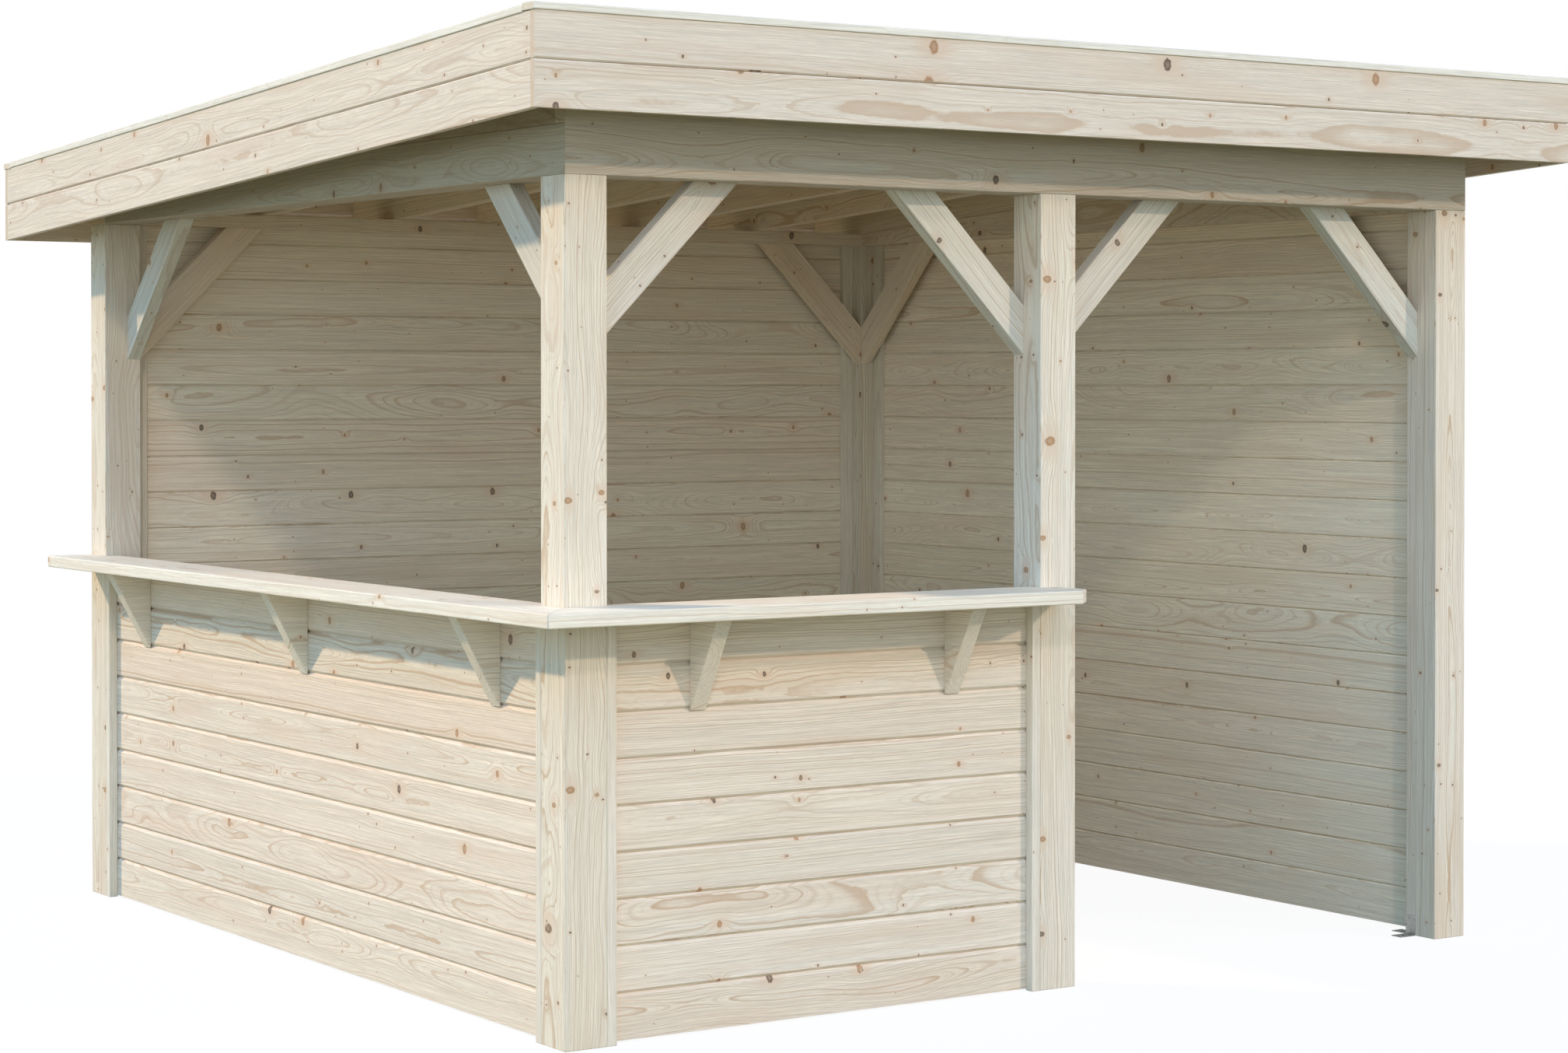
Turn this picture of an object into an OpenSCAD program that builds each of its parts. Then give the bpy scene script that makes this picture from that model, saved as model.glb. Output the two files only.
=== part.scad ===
// Square timber garden pavilion with a lean-to flat roof, two full walls,
// two low walls with a serving counter, and an open entrance bay.
// The origin is the centre of the post footprint, on the ground.
// +X runs along the front to the right, +Y runs to the back, +Z is up.

/* [Frame] */
// Width over the outer faces of the posts
frame_w = 3065; // [2600:5:4200]
// Depth over the outer faces of the posts
frame_d = 3065; // [2600:5:4200]
// Height of the posts, which is the headroom under the beams
post_h = 2147; // [1900:1:2700]
// Side of the square posts
post = 120; // [110:1:160]
// Radius of the long edges of the posts
post_round = 3; // [1:1:12]
// Height of the back beam at its back face
back_beam_h = 38; // [25:1:120]

/* [Braces] */
// Thickness of a knee brace
brace_t = 45; // [30:1:50]
// Depth of a knee brace across its slanted faces
brace_w = 95; // [60:1:120]
// How far a brace reaches down its post and along its beam
brace_leg = 432; // [300:1:560]

/* [Roof] */
// Fall of the roof to the back, in degrees
roof_slope = 3; // [1:0.05:5]
// Overhang from the posts to the outside of the fascia at the left and right
overhang_side = 205; // [120:1:300]
// Overhang from the posts to the outside of the fascia at the front and back
overhang_front = 217; // [120:1:300]
// Thickness of a rafter
rafter_t = 45; // [35:1:60]
// Height of a rafter
rafter_h = 120; // [95:1:145]
// Distance from the outer face of the side posts to the middle of the outer rafters
rafter_inset = 90; // [60:1:95]
// Thickness of the roof boards
deck_t = 18; // [15:1:25]
// Thickness of the fascia boards
fascia_t = 20; // [15:1:28]
// Height of the fascia, two boards tall
fascia_h = 230; // [220:1:280]
// How far the fascia hangs below the underside of the rafters
fascia_drop = 72; // [40:1:80]
// Width of the capping strip on the fascia
cap_w = 58; // [40:1:90]
// Thickness of the capping strip
cap_t = 19; // [12:1:25]
// How far the capping strip stands out past the fascia
cap_lip = 4; // [0:1:10]
// Open joint between two capping strips
cap_joint = 0.5; // [0.3:0.1:2]

/* [Walls] */
// Thickness of the wall boards
wall_t = 19; // [15:1:21]
// Depth from the outer face of the posts to the outer face of the walls
wall_inset = 28; // [20:1:30]
// Gap between the ground and the lowest wall board
wall_lift = 5; // [2:1:20]
// Width of the batten outside a wall, beside the post
outer_batten_w = 28; // [20:1:45]
// Width of the batten inside a wall, beside the post
inner_batten_w = 45; // [42:1:60]
// Thickness of the batten inside a wall
inner_batten_t = 18; // [15:1:22]

/* [Counter] */
// Height of the counter's top face over the ground
counter_top = 1088; // [900:1:1200]
// Thickness of the counter
counter_t = 36; // [25:1:45]
// How far the front counter stands out from the posts
counter_out_front = 176; // [110:1:220]
// How far the left counter stands out from the posts
counter_out_left = 147; // [110:1:220]
// How far the front counter runs on past the left face of the middle post
counter_past_post = 56; // [20:1:100]
// Size of the cut on the free corner of the front counter
counter_cut = 50; // [20:1:80]
// Clearance of the counter around a post
notch_gap = 0.5; // [0.3:0.1:2]
// Thickness of a counter bracket
bracket_t = 45; // [30:1:60]
// How far a bracket stands out from the wall
bracket_out = 130; // [80:1:135]
// Height of a bracket
bracket_h = 238; // [150:1:300]
// Thickness of a bracket at its two thin ends, which are nearly sharp
bracket_tip = 4; // [2:1:30]
// Distance from a corner post to the middle of the nearest bracket
bracket_inset = 279; // [200:1:400]

/* [Anchors] */
// Width of an angle anchor
anchor_w = 40; // [30:1:40]
// Height of an anchor's upright leg
anchor_h = 60; // [40:1:90]
// Length of an anchor's ground leg
anchor_leg = 60; // [40:1:80]
// Thickness of the anchor's steel
anchor_t = 2.5; // [2:0.5:4]
// Diameter of the two holes in the ground leg
anchor_hole_d = 9; // [5:0.5:11]
// Distance between the two holes
anchor_hole_gap = 24; // [18:1:26]
// Distance from the inner edge of a post to its anchors
anchor_inset = 2; // [1:1:8]

/* [Hidden] */
$fn = 48;
wood = [0.90, 0.85, 0.75];
pale_wood = [0.93, 0.89, 0.81];
steel = [0.55, 0.56, 0.55];

hx = frame_w / 2;
hy = frame_d / 2;
wall_h = counter_top - counter_t;
counter_in = wall_inset + wall_t;
brace_cut = brace_w * sqrt(2);
fall = tan(roof_slope);
fascia_x = hx + overhang_side;
fascia_y = hy + overhang_front;
fascia_top = fascia_h - fascia_drop;
RAFTERS = 7;
rafter_gap = (frame_w - 2 * rafter_inset) / (RAFTERS - 1);
mid_left = (frame_w - post) / 2;
mid_right = mid_left + post;

// Height of the rafters' underside at a place y
function roof_z(y) = post_h + back_beam_h + (hy - y) * fall;

// Turns a side's own frame into place: x runs along the side, seen from outside,
// from its left post, and y runs inward from the outer faces of the posts.
module on_front() { translate([-hx, -hy, 0]) children(); }
module on_right() { translate([hx, -hy, 0]) rotate([0, 0, 90]) children(); }
module on_back() { translate([hx, hy, 0]) rotate([0, 0, 180]) children(); }
module on_left() { translate([-hx, hy, 0]) rotate([0, 0, 270]) children(); }

// An outline in the Y-Z plane, drawn out along X
module across(x0, x1, outline) {
    translate([x0, 0, 0]) rotate([90, 0, 90]) linear_extrude(x1 - x0) polygon(outline);
}

// A board that lies on the roof's slope, between two heights over the rafters' underside
module sloped_board(x0, x1, y0, y1, low, high) {
    across(x0, x1, [[y0, roof_z(y0) + low], [y1, roof_z(y1) + low],
                    [y1, roof_z(y1) + high], [y0, roof_z(y0) + high]]);
}

// A beam on the posts, planed on top to the slope of the roof
module planed_beam(x0, x1, y0, y1) {
    color(wood) across(x0, x1, [[y0, post_h], [y1, post_h], [y1, roof_z(y1)], [y0, roof_z(y0)]]);
}

module post_at(x, y) {
    color(pale_wood) translate([x, y, 0]) linear_extrude(post_h) {
        translate([post_round, 0]) square([post - 2 * post_round, post]);
        translate([0, post_round]) square([post, post - 2 * post_round]);
        for (cx = [post_round, post - post_round], cy = [post_round, post - post_round])
            translate([cx, cy]) circle(post_round);
    }
}

module front_left_post() { post_at(-hx, -hy); }
module back_left_post() { post_at(-hx, hy - post); }
module back_right_post() { post_at(hx - post, hy - post); }
module front_right_post() { post_at(hx - post, -hy); }
module front_middle_post() { post_at(mid_left - hx, -hy); }

module front_beam() { planed_beam(-hx, hx, -hy, -hy + post); }
module back_beam() { planed_beam(-hx, hx, hy - post, hy); }
module left_beam() { planed_beam(-hx, -hx + post, -hy + post, hy - post); }
module right_beam() { planed_beam(hx - post, hx, -hy + post, hy - post); }

module rafter(i) {
    x = -hx + rafter_inset + (i - 1) * rafter_gap;
    color(wood) sloped_board(x - rafter_t / 2, x + rafter_t / 2,
                             -fascia_y + fascia_t, fascia_y - fascia_t, 0, rafter_h);
}

module roof_deck() {
    color(wood) sloped_board(-fascia_x + fascia_t, fascia_x - fascia_t,
                             -fascia_y + fascia_t, fascia_y - fascia_t, rafter_h, rafter_h + deck_t);
}

// A level fascia along the front or the back; it covers the ends of the side fascias
module level_fascia(y, outer_y) {
    color(pale_wood) translate([-fascia_x, y, roof_z(outer_y) - fascia_drop])
        cube([2 * fascia_x, fascia_t, fascia_h]);
}

// A side fascia follows the slope, and its back end is cut level under the back cap
module side_fascia(x) {
    inner_y = fascia_y - fascia_t;
    color(pale_wood) difference() {
        sloped_board(x, x + fascia_t, -inner_y, inner_y, -fascia_drop, fascia_top);
        translate([x - 1, fascia_y + cap_lip - cap_w - cap_joint, roof_z(fascia_y) + fascia_top])
            cube([fascia_t + 2, cap_w + cap_joint, fascia_h]);
    }
}

module front_fascia() { level_fascia(-fascia_y, -fascia_y); }
module back_fascia() { level_fascia(fascia_y - fascia_t, fascia_y); }
module left_fascia() { side_fascia(-fascia_x); }
module right_fascia() { side_fascia(fascia_x - fascia_t); }

module fascia_caps() {
    y0 = -fascia_y - cap_lip;
    y1 = fascia_y + cap_lip;
    color(pale_wood) {
        translate([-fascia_x - cap_lip, y0, roof_z(-fascia_y) + fascia_top])
            cube([2 * (fascia_x + cap_lip), cap_w, cap_t]);
        translate([-fascia_x - cap_lip, y1 - cap_w, roof_z(fascia_y) + fascia_top])
            cube([2 * (fascia_x + cap_lip), cap_w, cap_t]);
        for (x = [-fascia_x - cap_lip, fascia_x + cap_lip - cap_w])
            sloped_board(x, x + cap_w, y0 + cap_w + cap_joint, y1 - cap_w - cap_joint,
                         fascia_top, fascia_top + cap_t);
    }
}

// A wall between two posts, from u0 to u1 along its side, up to height h
module wall_slab(u0, u1, h) {
    color(wood) translate([u0, wall_inset, wall_lift]) cube([u1 - u0, wall_t, h - wall_lift]);
}

module wall_battens(u0, u1, h) {
    color(pale_wood) {
        for (u = [u0, u1 - outer_batten_w])
            translate([u, 0, 0]) cube([outer_batten_w, wall_inset, h]);
        for (u = [u0, u1 - inner_batten_w])
            translate([u, wall_inset + wall_t, 0]) cube([inner_batten_w, inner_batten_t, h]);
    }
}

module front_low_wall() { on_front() wall_slab(post, mid_left, wall_h); }
module left_low_wall() { on_left() wall_slab(post, frame_d - post, wall_h); }
module back_wall() { on_back() wall_slab(post, frame_w - post, post_h); }
module right_wall() { on_right() wall_slab(post, frame_d - post, post_h); }
module front_wall_battens() { on_front() wall_battens(post, mid_left, wall_h); }
module left_wall_battens() { on_left() wall_battens(post, frame_d - post, wall_h); }
module back_wall_battens() { on_back() wall_battens(post, frame_w - post, post_h); }
module right_wall_battens() { on_right() wall_battens(post, frame_d - post, post_h); }

// A knee brace from the post face at u, leaning along the beam: 1 to the right, -1 to the left
module knee_brace(u, way) {
    color(pale_wood) translate([u, post, post_h]) mirror([way < 0 ? 1 : 0, 0, 0])
        rotate([90, 0, 0]) linear_extrude(brace_t)
            polygon([[0, -brace_leg], [brace_leg, 0], [brace_leg - brace_cut, 0],
                     [0, brace_cut - brace_leg]]);
}

module front_brace_1() { on_front() knee_brace(post, 1); }
module front_brace_2() { on_front() knee_brace(mid_left, -1); }
module front_brace_3() { on_front() knee_brace(mid_right, 1); }
module front_brace_4() { on_front() knee_brace(frame_w - post, -1); }
module left_brace_1() { on_left() knee_brace(frame_d - post, -1); }
module left_brace_2() { on_left() knee_brace(post, 1); }
module back_brace_1() { on_back() knee_brace(frame_w - post, -1); }
module back_brace_2() { on_back() knee_brace(post, 1); }
module right_brace_1() { on_right() knee_brace(post, 1); }
module right_brace_2() { on_right() knee_brace(frame_d - post, -1); }

// Counter boards: notched around the posts and mitred where they meet at the front left corner
module counter_board(outline) {
    color(pale_wood) translate([0, 0, counter_top - counter_t]) linear_extrude(counter_t)
        polygon(outline);
}

module front_counter() {
    end = mid_left + counter_past_post;
    on_front() counter_board([
        [-counter_out_left, -counter_out_front], [end - counter_cut, -counter_out_front],
        [end, counter_cut - counter_out_front], [end, -notch_gap],
        [mid_left - notch_gap, -notch_gap], [mid_left - notch_gap, counter_in],
        [post + notch_gap, counter_in], [post + notch_gap, -notch_gap], [-notch_gap, -notch_gap]]);
}

module left_counter() {
    on_left() counter_board([
        [0, -counter_out_left], [frame_d + counter_out_front, -counter_out_left],
        [frame_d + notch_gap, -notch_gap], [frame_d - post - notch_gap, -notch_gap],
        [frame_d - post - notch_gap, counter_in], [post + notch_gap, counter_in],
        [post + notch_gap, -notch_gap], [0, -notch_gap]]);
}

// A bracket under the counter, its middle at u along its side
module bracket(u) {
    color(pale_wood) translate([u - bracket_t / 2, wall_inset, counter_top - counter_t])
        rotate([90, 0, 90]) linear_extrude(bracket_t)
            polygon([[0, 0], [0, -bracket_h], [-bracket_tip, -bracket_h],
                     [-bracket_out, -bracket_tip], [-bracket_out, 0]]);
}

module front_counter_brackets() {
    on_front() for (u = [post + bracket_inset, mid_left - bracket_inset]) bracket(u);
}

module left_counter_brackets() {
    on_left() for (u = [post + bracket_inset, frame_d / 2, frame_d - post - bracket_inset]) bracket(u);
}

// A steel angle: its upright leg backs onto the plane x = 0, and its ground leg runs along +x
module angle_anchor() {
    middle = (anchor_t + anchor_leg) / 2;
    difference() {
        union() {
            cube([anchor_t, anchor_w, anchor_h]);
            cube([anchor_leg, anchor_w, anchor_t]);
        }
        for (x = [middle - anchor_hole_gap / 2, middle + anchor_hole_gap / 2])
            translate([x, anchor_w / 2, -1]) cylinder(d = anchor_hole_d, h = anchor_t + 2);
    }
}

// Anchors on the facing sides of the two posts of a bay, beside the posts' inner edges
module bay_anchors(u0, u1) {
    inner_edge = post - anchor_inset;
    translate([u0, inner_edge - anchor_w, 0]) angle_anchor();
    translate([u1, inner_edge, 0]) rotate([0, 0, 180]) angle_anchor();
}

module ground_anchors() {
    color(steel) {
        on_front() {
            bay_anchors(post, mid_left);
            bay_anchors(mid_right, frame_w - post);
        }
        on_left() bay_anchors(post, frame_d - post);
        on_back() bay_anchors(post, frame_w - post);
        on_right() bay_anchors(post, frame_d - post);
    }
}

front_left_post();
back_left_post();
back_right_post();
front_right_post();
front_middle_post();
front_beam();
back_beam();
left_beam();
right_beam();
for (i = [1 : RAFTERS])
    rafter(i);
roof_deck();
front_fascia();
back_fascia();
left_fascia();
right_fascia();
fascia_caps();
front_low_wall();
left_low_wall();
back_wall();
right_wall();
front_wall_battens();
left_wall_battens();
back_wall_battens();
right_wall_battens();
front_brace_1();
front_brace_2();
front_brace_3();
front_brace_4();
left_brace_1();
left_brace_2();
back_brace_1();
back_brace_2();
right_brace_1();
right_brace_2();
front_counter();
left_counter();
front_counter_brackets();
left_counter_brackets();
ground_anchors();
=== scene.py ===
"""A square timber garden pavilion with a lean-to roof and a serving counter, in sawn and planed spruce.

Every stick is cut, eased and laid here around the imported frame. Metres; +X right, +Y back, +Z up.
"""

import math
import random

import bmesh
import bpy
from mathutils import Matrix, Vector


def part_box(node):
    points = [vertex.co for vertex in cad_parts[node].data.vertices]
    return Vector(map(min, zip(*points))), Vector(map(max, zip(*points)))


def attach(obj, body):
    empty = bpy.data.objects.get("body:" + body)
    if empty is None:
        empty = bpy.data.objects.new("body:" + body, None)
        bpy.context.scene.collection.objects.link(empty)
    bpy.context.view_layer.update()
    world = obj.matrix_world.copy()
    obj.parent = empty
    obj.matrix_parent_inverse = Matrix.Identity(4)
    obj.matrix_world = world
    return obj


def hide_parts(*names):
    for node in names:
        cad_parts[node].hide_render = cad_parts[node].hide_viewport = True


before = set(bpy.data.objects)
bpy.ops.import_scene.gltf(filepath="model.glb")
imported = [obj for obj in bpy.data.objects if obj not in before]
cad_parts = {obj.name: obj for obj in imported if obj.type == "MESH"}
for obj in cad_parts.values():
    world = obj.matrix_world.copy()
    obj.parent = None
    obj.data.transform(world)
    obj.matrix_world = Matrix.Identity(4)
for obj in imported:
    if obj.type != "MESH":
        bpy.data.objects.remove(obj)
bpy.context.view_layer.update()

# ---------------------------------------------------------------- sizes, the part's own where it has them
BRACE_W = 0.095
BOARD_COVER = 0.1163      # height that one wall board covers
BOARD_BEVEL = 0.0072      # bevel along both edges of a wall board, outside
INNER_BEVEL = 0.0040      # and inside
BOARD_GAP = 0.001         # open joint between two boards
TONGUE_T = 0.0026
TONGUE_L = 0.0058
GROOVE_D = 0.0075
GROOVE_PLAY = 0.0004
FASCIA_BEVEL = 0.0042
FASCIA_DROP = 0.072
FASCIA_T = 0.020
CAP_W = 0.058
CAP_T = 0.019
CAP_JOINT = 0.0005
OUTER_BATTEN = 0.028      # how wide the battens are
INNER_BATTEN = 0.045
RAFTERS = 7
DECK_T = 0.018
DECK_BOARDS = 30
COUNTER_CUT = 0.050
NOTCH_GAP = 0.0005
BRACKET_T = 0.045
BRACKET_H = 0.238
BRACKET_TIP = 0.004
ANCHOR_T = 0.0025
ANCHOR_W = 0.040
ANCHOR_LEG = 0.060
ANCHOR_INSET = 0.002
BEND_R = 0.0022           # inside of an anchor's bend
BEND_FLATS = 6
NAIL_HOLES = ((0.0145, 0.050), (0.035, 0.050), (0.005, 0.031), (0.024, 0.031))
NAIL_R = 0.0025
NAIL_PUNCH = (-0.01, 0.008)           # how far the cutter for these holes reaches
BOLT_SET = 0.012          # how far the foot's two holes lie from its middle
BOLT_R = 0.0045
BOLT_PUNCH = (-0.01, 0.01)
HOLE_SIDES = 24
WORN = 0.0003             # bevel of an anchor's edges,
WORN_TURN = math.radians(40)          # where they turn at least this much
SIDE_BEAM_TOP = 2.273     # the side beams' level top
SEAT = 0.046              # thickness of the front beam's ends above the side beams
FILLET_H = 0.02           # nominal height of the fillets on the side beams, and their set-back
FILLET_SET = 0.0015
FILLET_TIP = 0.004        # height of a fillet's thin end
PLUG_R = 0.0098           # wooden plugs on the braces
PLUG_SET = 0.072          # and how far each is from the brace's end
PLUG_SIDES = 20
PLUG_REACH = (-0.0012, 0.004)         # from just proud of the brace to inside it

# How far the long edges and the ends of each kind of timber are eased.
EASED = {
    "post": (0.003, 0.002),
    "beam": (0.003, 0.0015),
    "beam_seat": (0.0006, 0.0004),
    "fillet": (0.001, 0.0005),
    "rafter": (0.002, 0.001),
    "roof_board": (0.0008, 0.001),
    "fascia": (0.0015, 0.001),
    "long_cap": (0.0025, 0.002),
    "side_cap": (0.0025, 0.001),
    "wall_board": (0.0004, 0.0004),
    "outer_batten": (0.0025, 0.0015),
    "inner_batten": (0.002, 0.0015),
    "brace": (0.003, 0.001),
    "plug": (0.0004, 0.0008),
    "counter": (0.002, 0.0035),
    "bracket": (0.0015, 0.002),
}
ROUND = 3                 # flats that make up the curve of an eased edge
HALF_ROUND = 0.293        # how deep such a curve lies at its middle, as a share of its radius
LEAST_ROUND = 0.25        # share of a long edge's curve that is left at the stick's very end
NO_TURN = 0.05            # a corner that turns less, in radians, is left sharp
STRIDE = 0.40             # longest run of a stick between two rings of corners
DECK_STRIDE = 0.50
SLIVER = 0.05             # a rest smaller than this share of a board goes to the last board
ISLAND_GAP = 0.004        # between two parts of the unwrapped skin

# How far from its trunk's heart a stick was cut, along its first and second axes.
CUT_AT = {
    "square": ((-0.03, 0.03), (0.035, 0.09)),
    "near_heart": ((-0.022, 0.022), (0.012, 0.045)),
    "upright_rings": ((0.06, 0.13), (-0.07, 0.07)),
    "flat_rings": ((-0.04, 0.04), (0.06, 0.11)),
}
YEAR_WIDTH = (0.0038, 0.0070)         # how wide a trunk's rings may be,
WIDER_FLAT = 1.3                      # and how much wider where they lie flat
TURNED = 0.4              # share of square sticks that lie on their other side
NEAR_HEART = 0.34         # boards up to this share were cut near the heart,
UPRIGHT_RINGS = 0.80      # up to this one beside it, and the rest further out

# ---------------------------------------------------------------- where the frame stands
left_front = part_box("front_left_post")
right_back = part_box("back_right_post")
middle_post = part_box("front_middle_post")
HX, HY = right_back[1].xy
POST = left_front[1].x - left_front[0].x
back_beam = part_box("back_beam")
front_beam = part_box("front_beam")
FALL = (front_beam[1].z - back_beam[1].z) / (2 * HY - POST)
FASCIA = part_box("front_fascia")
FASCIA_Y = -FASCIA[0].y
FASCIA_H = FASCIA[1].z - FASCIA[0].z
RAFTER_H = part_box("roof_deck")[1].z - DECK_T - front_beam[1].z - FALL * (FASCIA_Y - FASCIA_T - HY)


def roof_z(y):
    """Height of the rafters' underside at a place y."""
    return front_beam[1].z - (y + HY) * FALL


# Each side's own frame: along it from its left post as seen from outside, inward, and up.
SIDES = {
    "front": (Vector((-HX, -HY, 0)), Vector((1, 0, 0)), Vector((0, 1, 0))),
    "right": (Vector((HX, -HY, 0)), Vector((0, 1, 0)), Vector((-1, 0, 0))),
    "back": (Vector((HX, HY, 0)), Vector((-1, 0, 0)), Vector((0, -1, 0))),
    "left": (Vector((-HX, HY, 0)), Vector((0, -1, 0)), Vector((1, 0, 0))),
}
UP = Vector((0, 0, 1))
EAST = Vector((1, 0, 0))
NORTH = Vector((0, 1, 0))
DOWNHILL = Vector((0, 1, -FALL))


def laid(origin, first, second, third):
    """Where a stick's own three axes go."""
    columns = Matrix((first, second, third)).transposed().to_4x4()
    return Matrix.Translation(origin) @ columns


def side_box(side, node):
    """A node's lowest and highest corners in a side's own frame: along, inward, up."""
    origin, along, inward = SIDES[side]
    corners = [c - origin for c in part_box(node)]
    rows = [sorted(c.dot(axis) for c in corners) for axis in (along, inward, UP)]
    return [r[0] for r in rows], [r[1] for r in rows]


# ---------------------------------------------------------------- cutting timber
def directions(corners, i):
    """The corner, the ways in to it and out of it, and the inward normals of both edges."""
    n = len(corners)
    before, here, after = (Vector(corners[j % n]) for j in (i - 1, i, i + 1))
    way_in = (here - before).normalized()
    way_out = (after - here).normalized()
    return here, way_in, way_out, Vector((-way_in.y, way_in.x)), Vector((-way_out.y, way_out.x))


def eased_outline(corners, inset, radius):
    """The outline with every edge moved inward and each outward corner turned into a short arc."""
    points = []
    for i in range(len(corners)):
        here, way_in, way_out, normal_in, normal_out = directions(corners, i)
        here = here + (normal_in + normal_out) * (inset / (1 + normal_in.dot(normal_out)))
        turn = math.atan2(way_in.x * way_out.y - way_in.y * way_out.x, way_in.dot(way_out))
        if turn < NO_TURN:
            points.append(here)
            continue
        centre = here - way_in * radius * math.tan(turn / 2) + normal_in * radius
        for k in range(ROUND + 1):
            swing = Matrix.Rotation(turn * k / ROUND, 2)
            points.append(centre + swing @ (normal_in * -radius))
    return points


def on_shelves(sizes):
    """The largest scale at which all rectangles fit on shelves in a unit square, and their places."""
    order = sorted(range(len(sizes)), key=lambda i: -sizes[i][1])

    def lay(scale):
        x = y = ISLAND_GAP
        tallest = 0
        spots = {}
        for i in order:
            w, h = sizes[i][0] * scale, sizes[i][1] * scale
            if x + w + ISLAND_GAP > 1:
                x, y, tallest = ISLAND_GAP, y + tallest + ISLAND_GAP, 0
            spots[i] = (x, y)
            x += w + ISLAND_GAP
            tallest = max(tallest, h)
        return spots, y + tallest + ISLAND_GAP

    low, high = 0.0, (1 - 2 * ISLAND_GAP) / max(max(s) for s in sizes)
    for _ in range(18):
        middle = (low + high) / 2
        if lay(middle)[1] <= 1:
            low = middle
        else:
            high = middle
    return low, lay(low)[0]


class Stock:
    """Timber put together into one piece.

    Each corner carries its place along the grain, its stick's lot and the heart of its trunk. Each
    face carries whether it is sawn across the grain (cut) and whether it is one of the stick's
    narrow sides. Islands are the separate parts of the unwrapped skin.
    """

    def __init__(self, name):
        self.name = name
        self.dice = random.Random(name)
        self.points, self.faces, self.loops = [], [], []
        self.grain, self.lot, self.heart, self.cut, self.narrow, self.islands = [], [], [], [], [], []

    def from_heart(self, least, most):
        """A place in this span; one that starts above 0 may also lie on the heart's other side."""
        side = self.dice.choice((-1, 1)) if least > 0 else 1
        return side * self.dice.uniform(least, most)

    def tree(self, kind="board"):
        """Where a stick came out of its trunk: the heart's place, the ring width, and its own lot.

        A square stick is cut off the heart. A board is cut near the heart, beside it so that its
        rings stand up, or further out so that they lie flat.
        """
        dice = self.dice
        width = dice.uniform(*YEAR_WIDTH)
        pick = dice.random()
        sway = dice.random()
        if kind == "square":
            sway = 0.6 + 0.4 * sway
        elif pick < NEAR_HEART:
            kind = "near_heart"
        elif pick < UPRIGHT_RINGS:
            kind = "upright_rings"
        else:
            kind = "flat_rings"
            width *= WIDER_FLAT
        across, depth = (self.from_heart(*span) for span in CUT_AT[kind])
        if kind == "square" and pick < TURNED:
            across, depth = depth, across
        return (across, depth, width), (sway, dice.random(), dice.random())

    def stick(self, corners, ends, place, eased, lie="wab", kind="board", bend=None, stride=STRIDE,
              tree=None):
        """A stick with this outline, drawn along its third axis from one end to the other.

        eased names the easing of its edges. lie says which of its own axes the grain runs along,
        across and through: the third, first and second as a rule.
        """
        edge, end = EASED[eased]
        start, stop = (e if callable(e) else (lambda a, b, e=e: e) for e in ends)
        heart, lot = tree or self.tree(kind)
        easing = [(end, 0.0), (end * HALF_ROUND, end * HALF_ROUND), (0.0, end)]
        first = max(start(*c) for c in corners) + end
        last = min(stop(*c) for c in corners) - end
        runs = max(1, round((last - first) / stride))
        middles = [first + (last - first) * k / runs for k in range(1, runs)]
        rings = [(inset, lambda a, b, d=d: start(a, b) + d) for inset, d in easing]
        rings += [(0.0, lambda a, b, m=m: m) for m in middles]
        rings += [(inset, lambda a, b, d=d: stop(a, b) - d) for inset, d in reversed(easing)]
        base = len(self.points)
        rows = []
        for inset, height in rings:
            ring = eased_outline(corners, inset, max(edge - inset, edge * LEAST_ROUND))
            outline_count = len(ring)
            rows.append([Vector((p.x, p.y, height(p.x, p.y))) for p in ring])
        box = [[f(p[k] for row in rows for p in row) for k in range(3)] for f in (min, max)]
        middle = [(box[0][k] + box[1][k]) / 2 for k in range(3)]
        axes = ["abw".index(axis) for axis in lie]
        for row in rows:
            for p in row:
                q = bend(p.copy()) if bend else p
                self.points.append(place @ q)
                self.grain.append([p[k] - middle[k] for k in axes])
                self.heart.append(heart)
                self.lot.append(lot)
        girth = [0.0]
        widest = rows[len(easing) - 1]
        for i in range(outline_count):
            girth.append(girth[-1] + (widest[(i + 1) % outline_count].xy - widest[i].xy).length)
        path = [0.0]
        for low, high in zip(rows, rows[1:]):
            path.append(path[-1] + max((high[0] - low[0]).length, 1e-4))
        breaks = [0, *range(len(easing), len(easing) + len(middles)), len(rows) - 1]
        for first_ring, last_ring in zip(breaks, breaks[1:]):
            island = len(self.islands)
            self.islands.append((path[last_ring] - path[first_ring], girth[-1]))
            for r in range(first_ring, last_ring):
                for i in range(outline_count):
                    j = (i + 1) % outline_count
                    low, high = base + r * outline_count, base + (r + 1) * outline_count
                    self.faces.append((low + i, low + j, high + j, high + i))
                    self.cut.append(0.0)
                    run = widest[j] - widest[i]
                    looks = [abs(run.y), abs(run.x), 0.0]
                    self.narrow.append(1.0 if looks[axes[1]] > looks[axes[2]] else 0.0)
                    x0, x1 = path[r] - path[first_ring], path[r + 1] - path[first_ring]
                    y0, y1 = girth[i], girth[i + 1]
                    self.loops += [(island, x0, y0), (island, x0, y1), (island, x1, y1), (island, x1, y0)]
        sawn = 1.0 if axes[0] == 2 else 0.0
        for r in (0, len(rows) - 1):
            ring = list(range(base + r * outline_count, base + (r + 1) * outline_count))
            low = [min(p[k] for p in rows[r]) for k in (0, 1)]
            high = [max(p[k] for p in rows[r]) for k in (0, 1)]
            island = len(self.islands)
            self.islands.append((high[0] - low[0], high[1] - low[1]))
            self.faces.append(tuple(ring))
            self.cut.append(sawn)
            self.narrow.append(0.0)
            self.loops += [(island, p.x - low[0], p.y - low[1]) for p in rows[r]]

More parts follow.
